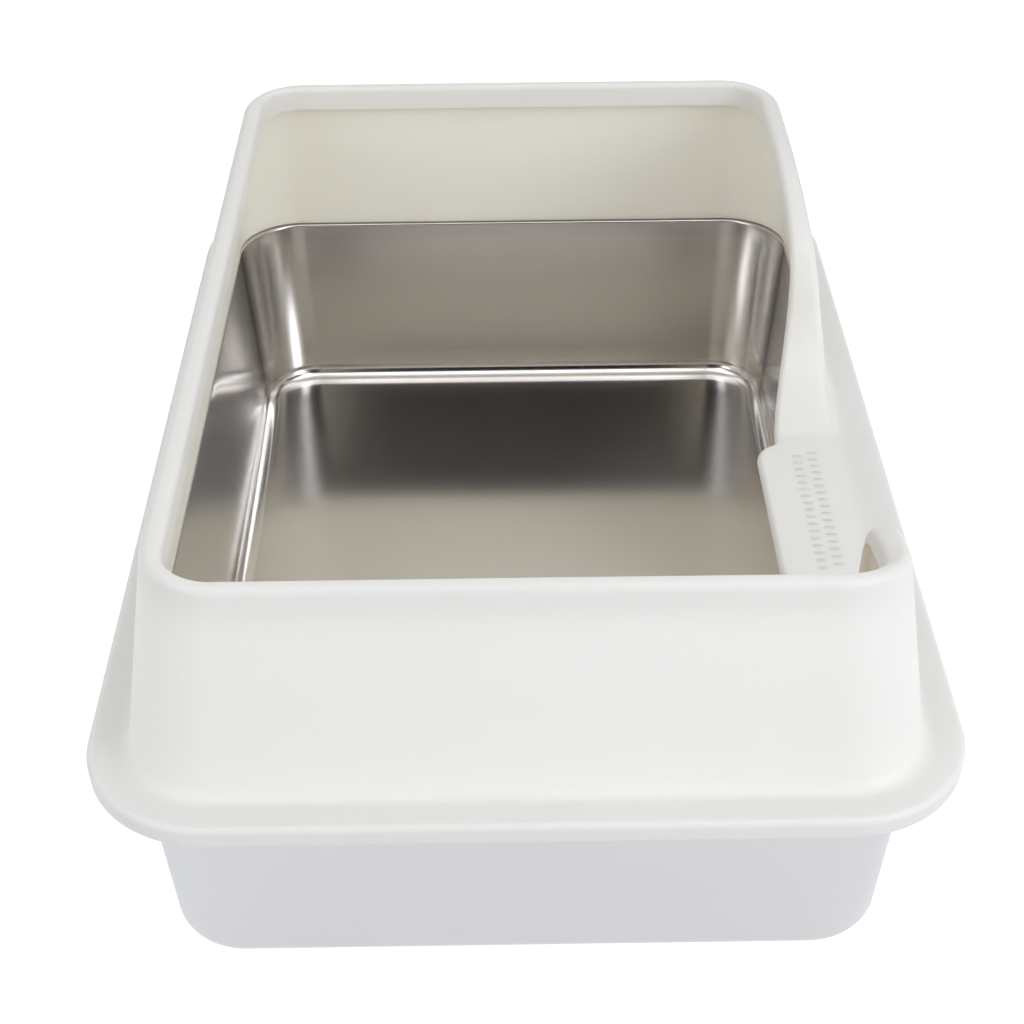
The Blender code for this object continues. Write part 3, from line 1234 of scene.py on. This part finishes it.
    def foot_profile(self, section: Section) -> Skin:
        """The hollow turn from the flange up into the wall, lower where the wall is low.

        Args:
            section: the section.

        Returns:
            Pairs of point and outward direction.
        """
        station = section.station
        top = self.flange_top + min(self.foot_fillet, section.foot_rise * self.foot_share)
        start = station.point(self.foot_half + self.foot_fillet, self.foot_corner + self.foot_fillet,
                              self.flange_top, self.end_extra)
        corner = self.wall_point(station, self.flange_top)
        normal = self.wall_normal(station, section.foot_rise)
        return self.turned(start, corner, self.wall_point(station, top), UP, normal)

    def rim_profile(self, section: Section, ridge_way: Vector, inner_way: Vector) -> Skin:
        """Over the rim: outer edge, band, inner edge and the lip that hangs from it.

        Args:
            section: the section.
            ridge_way: the direction in which the outer edge runs.
            inner_way: the direction in which the inner edge runs.

        Returns:
            Pairs of point and outward direction.
        """
        station = section.station
        facing = station.facing()
        rise = section.ridge.z - self.flange_top
        outward = self.wall_normal(station, rise)
        wall_up = self.wall_normal(station, self.rim_top).cross(ridge_way).normalized()
        band_up = facing.cross(ridge_way).normalized()
        inward = band_up.cross(inner_way).normalized()
        band = (section.ridge - section.inner).length
        rim_edge = min(self.rim_edge, band * self.rim_edge_share)
        lip_edge = min(self.lip_edge, band * self.lip_edge_share)
        start = section.ridge - wall_up * min(rim_edge, rise * self.rim_edge_share)
        outer = self.turned(start, section.ridge, section.ridge - facing * rim_edge, outward, band_up)
        share = smooth_share(section.ridge.z, self.lip_fade_from, self.lip_fade_to)
        drop = blend(self.lip_drop_at_entry, self.lip_drop, share)
        lip = self.turned(section.inner - inward * lip_edge, section.inner,
                          section.inner - band_up * lip_edge, band_up, inward)
        return outer + lip + [(section.inner - band_up * drop, inward)]

    def columns(self) -> List[Skin]:
        """All sections as columns of points and outward directions on the moulding's outside.

        Returns:
            One column for each section.
        """
        sections = self.sections()
        ridges = [section.ridge for section in sections]
        inners = [section.inner for section in sections]
        columns = []
        for place, section in enumerate(sections):
            ahead = (place + 1) % len(sections)
            ridge_way = (ridges[ahead] - ridges[place - 1]).normalized()
            inner_way = (inners[ahead] - inners[place - 1]).normalized()
            columns.append(self.skirt_profile(section.station) + self.foot_profile(section)
                           + self.rim_profile(section, ridge_way, inner_way))
        return columns

    def inner_column(self, column: Skin) -> List[Vector]:
        """The same column on the inside of the wall, with the foot's inner corner left square.

        Args:
            column: pairs of point and outward direction on the outside.

        Returns:
            The points on the inside.
        """
        inside = [point - normal * self.shell for point, normal in column]
        # The foot's rows come after the skirt's lower edge and the skirt's turn.
        first = self.profile_steps + 2
        last = first + self.profile_steps
        start, top = inside[first], inside[last]
        level = Vector((start.x - top.x, start.y - top.y, 0.0)).normalized()
        slope = (self.foot_half - self.rim_half) / (self.rim_top - self.flange_top)
        corner = top + (level * slope - UP) * (top.z - start.z)
        for row in range(first + 1, last):
            legs = 2.0 * (row - first) / (last - first)
            inside[row] = blend(start, corner, legs) if legs <= 1.0 else blend(corner, top, legs - 1.0)
        return inside

    def build(self, finish: bpy.types.Material) -> bpy.types.Object:
        """Makes the moulding.

        Args:
            finish: the plastic.

        Returns:
            The enclosure as one closed shell.
        """
        build = bmesh.new()
        # Marks the inner side of the shell, where the plastic gets its painted warm bounce light.
        inside = build.verts.layers.float.new(PAINTED_BOUNCE_SIDE)
        grid = []
        for column in self.columns():
            around = [build.verts.new(point) for point, _ in column]
            behind = [build.verts.new(point) for point in self.inner_column(column)[::-1]]
            for vertex in behind:
                vertex[inside] = 1.0
            grid.append(around + behind)
        for here, ahead in zip(grid, grid[1:] + grid[:1]):
            for row in range(len(here)):
                above = (row + 1) % len(here)
                build.faces.new((here[row], ahead[row], ahead[above], here[above]))
        mesh = bpy.data.meshes.new("enclosure_moulding")
        build.to_mesh(mesh)
        build.free()
        mesh.materials.append(finish)
        shade(mesh, self.crease)
        return new_object("enclosure_moulding", mesh)


# ---------------------------------------------------------------- grip on the sill


@dataclass
class SillGrip:
    """Rows of low oval pips that keep paws from slipping on the sill."""

    half_from: float = 0.1605
    half_to: float = 0.1695
    middle: float = -0.067
    length: float = 0.104
    rows: int = 2
    columns: int = 17
    pip_length: float = 0.0072
    pip_width: float = 0.0030
    pip_height: float = 0.00028
    sink: float = 0.0003
    top: float = 0.1230
    segments: int = 20
    rings: int = 10
    crease: float = 60.0

    def build(self, finish: bpy.types.Material) -> bpy.types.Object:
        """Makes the pips.

        Args:
            finish: the plastic.

        Returns:
            All pips as one mesh.
        """
        recipe = GeometryRecipe("sill_grip")
        graph = recipe.graph
        grid = graph.add("GeometryNodeMeshGrid", {
            "Size X": recipe.size("Band width", self.half_to - self.half_from),
            "Size Y": recipe.size("Band length", self.length),
            "Vertices X": recipe.size("Rows", self.rows),
            "Vertices Y": recipe.size("Pips per row", self.columns)})
        x, y, _ = graph.split(graph.where())
        # The outer row is shifted by half a pitch.
        odd = graph.sum("GREATER_THAN", x, 0.0)
        shifted = graph.sum("ADD", y, graph.sum("MULTIPLY", odd, self.length / (self.columns - 1) / 2))
        spots = graph.join(graph.sum("ADD", x, (self.half_from + self.half_to) / 2),
                           graph.sum("ADD", shifted, self.middle), self.top - self.sink)
        pip = graph.add("GeometryNodeMeshUVSphere", {"Segments": self.segments, "Rings": self.rings,
                                                     "Radius": 1.0})
        size = graph.join(recipe.size("Pip half length", self.pip_length / 2),
                          recipe.size("Pip half width", self.pip_width / 2),
                          recipe.size("Pip height", self.pip_height + self.sink))
        pips = graph.add("GeometryNodeInstanceOnPoints", {
            "Points": graph.placed(grid.outputs["Mesh"], spots), "Instance": pip.outputs["Mesh"],
            "Scale": size})
        grip = recipe.run("sill_grip", pips.outputs[0], finish)
        shade(grip.data, self.crease)
        return grip


# ---------------------------------------------------------------- studio


def direction(azimuth: float, elevation: float) -> Vector:
    """Unit vector towards an azimuth, counted from -Y towards +X, and an elevation, both in degrees."""
    turn, rise = math.radians(azimuth), math.radians(elevation)
    return Vector((math.sin(turn) * math.cos(rise), -math.cos(turn) * math.cos(rise), math.sin(rise)))


@dataclass(frozen=True)
class Softbox:
    """One large soft light that faces the object."""

    name: str
    azimuth: float
    elevation: float
    radiance: float
    distance: float = 2.2
    width: float = 0.5
    height: float = 1.1

    def build(self) -> bpy.types.Object:
        """Adds the light.

        Returns:
            The light.
        """
        way = direction(self.azimuth, self.elevation)
        data = bpy.data.lights.new(self.name, "AREA")
        data.shape = "RECTANGLE"
        data.size = self.width
        data.size_y = self.height
        data.energy = self.radiance * math.pi * self.width * self.height
        data.color = LAMPLIGHT
        made = bpy.data.objects.new(self.name, data)
        bpy.context.scene.collection.objects.link(made)
        made.location = way * self.distance
        made.rotation_euler = way.to_track_quat("Z", "Y").to_euler()
        return made


@dataclass
class Studio:
    """Pale floor, soft surroundings, softboxes either side of the camera, and the camera."""

    camera_place: Spot = (-0.0111, -0.8988, 0.7395)
    tilt: float = 0.6369
    roll: float = -0.0084
    yaw: float = 0.0079
    lens: float = 65.63
    sensor: float = 36.0
    nearest: float = 0.01
    floor_half: float = 6.0
    floor_cells: int = 4
    floor_gap: float = 0.0004
    floor_colour: float = 0.58
    floor_roughness: float = 0.9
    camera_lift: float = 0.80
    mirror_lift: float = 0.515
    ambient: float = 0.64
    ambient_to_front: float = 0.04
    ambient_to_back: float = 0.44
    ambient_to_sides: float = 0.28
    ambient_to_top: float = -0.35
    softboxes: Tuple[Softbox, ...] = (
        Softbox("softbox_right_key", 45.0, 28.0, 5.50, width=0.55),
        Softbox("softbox_right_side", 61.0, 28.0, 1.15, width=1.1),
        Softbox("softbox_right_near", 30.0, 28.0, 0.40),
        Softbox("softbox_left_key", -45.0, 28.0, 2.45, width=0.75),
        Softbox("softbox_left_side", -66.0, 28.0, 0.50),
        Softbox("softbox_right_high", 35.5, 60.0, 2.40, width=0.5, height=0.8),
        Softbox("softbox_left_high", -36.0, 60.0, 1.70, width=0.5, height=0.8),
    )
    horizon_band: Knot = (0.20, 0.58)
    ceiling_band: Knot = (0.70, 0.91)
    ceiling_end: Knot = (-0.70, -0.45)
    zenith_band: Knot = (0.93, 0.99)
    low_wall: float = 0.23
    back_wall: float = 1.38
    left_wall: float = 0.29
    right_wall: float = 0.07
    wall_power: float = 2.0
    ceiling: float = 2.3
    zenith: float = 0.96

    def camera(self) -> bpy.types.Object:
        """Adds the camera at the photograph's viewing angle.

        Returns:
            The camera.
        """
        forward = Vector((math.sin(self.yaw) * math.cos(self.tilt),
                          math.cos(self.yaw) * math.cos(self.tilt), -math.sin(self.tilt)))
        level = Vector((math.cos(self.yaw), -math.sin(self.yaw), 0.0))
        upward = level.cross(forward)
        right = level * math.cos(self.roll) + upward * math.sin(self.roll)
        above = upward * math.cos(self.roll) - level * math.sin(self.roll)
        data = bpy.data.cameras.new("camera")
        data.lens = self.lens
        data.sensor_width = self.sensor
        data.sensor_fit = "HORIZONTAL"
        data.clip_start = self.nearest
        made = bpy.data.objects.new("camera", data)
        bpy.context.scene.collection.objects.link(made)
        made.matrix_world = Matrix((
            *zip(right, above, -forward, self.camera_place),
            (0.0, 0.0, 0.0, 1.0)))
        bpy.context.scene.camera = made
        return made

    def floor(self) -> bpy.types.Object:
        """Adds the pale floor: white to the camera outside the shadow, cooler where metal mirrors it.

        Returns:
            The floor.
        """
        material, graph, shader = new_material("studio_floor")
        rays = graph.add("ShaderNodeLightPath")
        seen, mirrors = rays.outputs["Is Camera Ray"], rays.outputs["Is Glossy Ray"]
        graph.feed_all(shader, {
            "Base Color": (*[self.floor_colour] * 3, 1.0),
            "Roughness": self.floor_roughness,
            "Specular IOR Level": 0.0,
            "Emission Color": graph.mix(mirrors, (*DAYLIGHT, 1.0), (*FLOORLIGHT, 1.0)),
            "Emission Strength": graph.sum("ADD", graph.sum("MULTIPLY", seen, self.camera_lift),
                                           graph.sum("MULTIPLY", mirrors, self.mirror_lift)),
        })
        build = bmesh.new()
        bmesh.ops.create_grid(build, x_segments=self.floor_cells, y_segments=self.floor_cells,
                              size=self.floor_half)
        bmesh.ops.translate(build, verts=build.verts, vec=(0.0, 0.0, -self.floor_gap))
        mesh = bpy.data.meshes.new("studio_floor")
        build.to_mesh(mesh)
        build.free()
        mesh.materials.append(material)
        made = new_object("studio_floor", mesh)
        return made

    @staticmethod
    def either_way(graph: Graph, value: Socket) -> Tuple[Socket, ...]:
        """The positive part and the turned negative part of a value."""
        return (graph.sum("MAXIMUM", value, 0.0),
                graph.sum("MAXIMUM", graph.sum("MULTIPLY", value, -1.0), 0.0))

    def mirrored(self, graph: Graph, way: Socket) -> Socket:
        """What metal sees all round: pale walls, and a pale ceiling that is softer straight above.

        Args:
            graph: the world's tree.
            way: the socket with the direction.

        Returns:
            The socket with the strength.
        """
        x, y, z = graph.split(way)
        right, left, back = [graph.sum("POWER", part, self.wall_power) for part in (
            *self.either_way(graph, x), self.either_way(graph, y)[0])]
        low = graph.spread(z, *self.horizon_band, 1.0, 0.0, kind="SMOOTHSTEP")
        high = graph.spread(z, *self.ceiling_band, 0.0, 1.0, kind="SMOOTHSTEP")
        middle = graph.sum("SUBTRACT", graph.sum("SUBTRACT", 1.0, low), high)
        walls = graph.sum("MULTIPLY", back, self.back_wall)
        walls = graph.sum("MULTIPLY_ADD", left, self.left_wall, walls)
        walls = graph.sum("MULTIPLY_ADD", right, self.right_wall, walls)
        lower = graph.sum("MULTIPLY", back, self.low_wall)
        seen = graph.sum("MULTIPLY_ADD", middle, walls, graph.sum("MULTIPLY", low, lower))
        level = graph.sum("SUBTRACT", JUST_OVER_ONE, graph.sum("MULTIPLY", z, z))
        above = graph.spread(z, *self.zenith_band, self.ceiling, self.zenith, kind="SMOOTHSTEP")
        kept = graph.spread(y, *self.ceiling_end, 0.0, 1.0, kind="SMOOTHSTEP")
        return graph.sum("MULTIPLY_ADD", graph.sum("MULTIPLY", high, kept), above,
                         graph.sum("DIVIDE", seen, level))

    def soft_light(self, graph: Graph, way: Socket) -> Socket:
        """The soft light on matt surfaces.

        Args:
            graph: the world's tree.
            way: the socket with the direction.

        Returns:
            The socket with the strength.
        """
        x, y, z = graph.split(way)
        back, front = self.either_way(graph, y)
        sides = graph.sum("ADD", *self.either_way(graph, x))
        top, _ = self.either_way(graph, z)
        light = graph.sum("MULTIPLY_ADD", front, self.ambient_to_front, self.ambient)
        light = graph.sum("MULTIPLY_ADD", back, self.ambient_to_back, light)
        light = graph.sum("MULTIPLY_ADD", sides, self.ambient_to_sides, light)
        return graph.sum("MULTIPLY_ADD", top, self.ambient_to_top, light)

    def surroundings(self) -> None:
        """Sets the world: white for the camera, walls and ceiling for metal, soft light for the rest."""
        world = bpy.data.worlds.new("studio")
        bpy.context.scene.world = world
        world.use_nodes = True
        graph = Graph(world.node_tree)
        world.node_tree.nodes.clear()
        rays = graph.add("ShaderNodeLightPath")
        seen, mirrors = rays.outputs["Is Camera Ray"], rays.outputs["Is Glossy Ray"]
        way = graph.add("ShaderNodeTexCoord").outputs["Generated"]
        matt = graph.sum("MULTIPLY", graph.sum("SUBTRACT", 1.0, seen), graph.sum("SUBTRACT", 1.0, mirrors))
        light = graph.sum("ADD", graph.sum("MULTIPLY", mirrors, self.mirrored(graph, way)),
                          graph.sum("MULTIPLY", matt, self.soft_light(graph, way)))
        shader = graph.add("ShaderNodeBackground", {
            "Color": graph.mix(seen, (*DAYLIGHT, 1.0), (1.0, 1.0, 1.0, 1.0)),
            "Strength": graph.sum("ADD", seen, light)})
        graph.add("ShaderNodeOutputWorld", {"Surface": shader.outputs[0]})

    def build(self) -> None:
        """Sets up the whole studio."""
        self.camera()
        self.floor()
        self.surroundings()
        for softbox in self.softboxes:
            softbox.build()
        bpy.context.scene.view_settings.view_transform = "Standard"


def main() -> None:
    """Builds every piece and the studio."""
    logging.basicConfig(level=logging.INFO, format="%(message)s")
    steel = SatinSteel().material()
    plastic = WhitePlastic().material()
    dress(LitterPan().build(steel), Body.PAN, Slot.STEEL, "litter_pan")
    dress(Enclosure().build(plastic), Body.ENCLOSURE, Slot.PLASTIC, "enclosure")
    dress(SillGrip().build(plastic), Body.ENCLOSURE, Slot.PLASTIC)
    Studio().build()


if __name__ == "__main__":
    main()
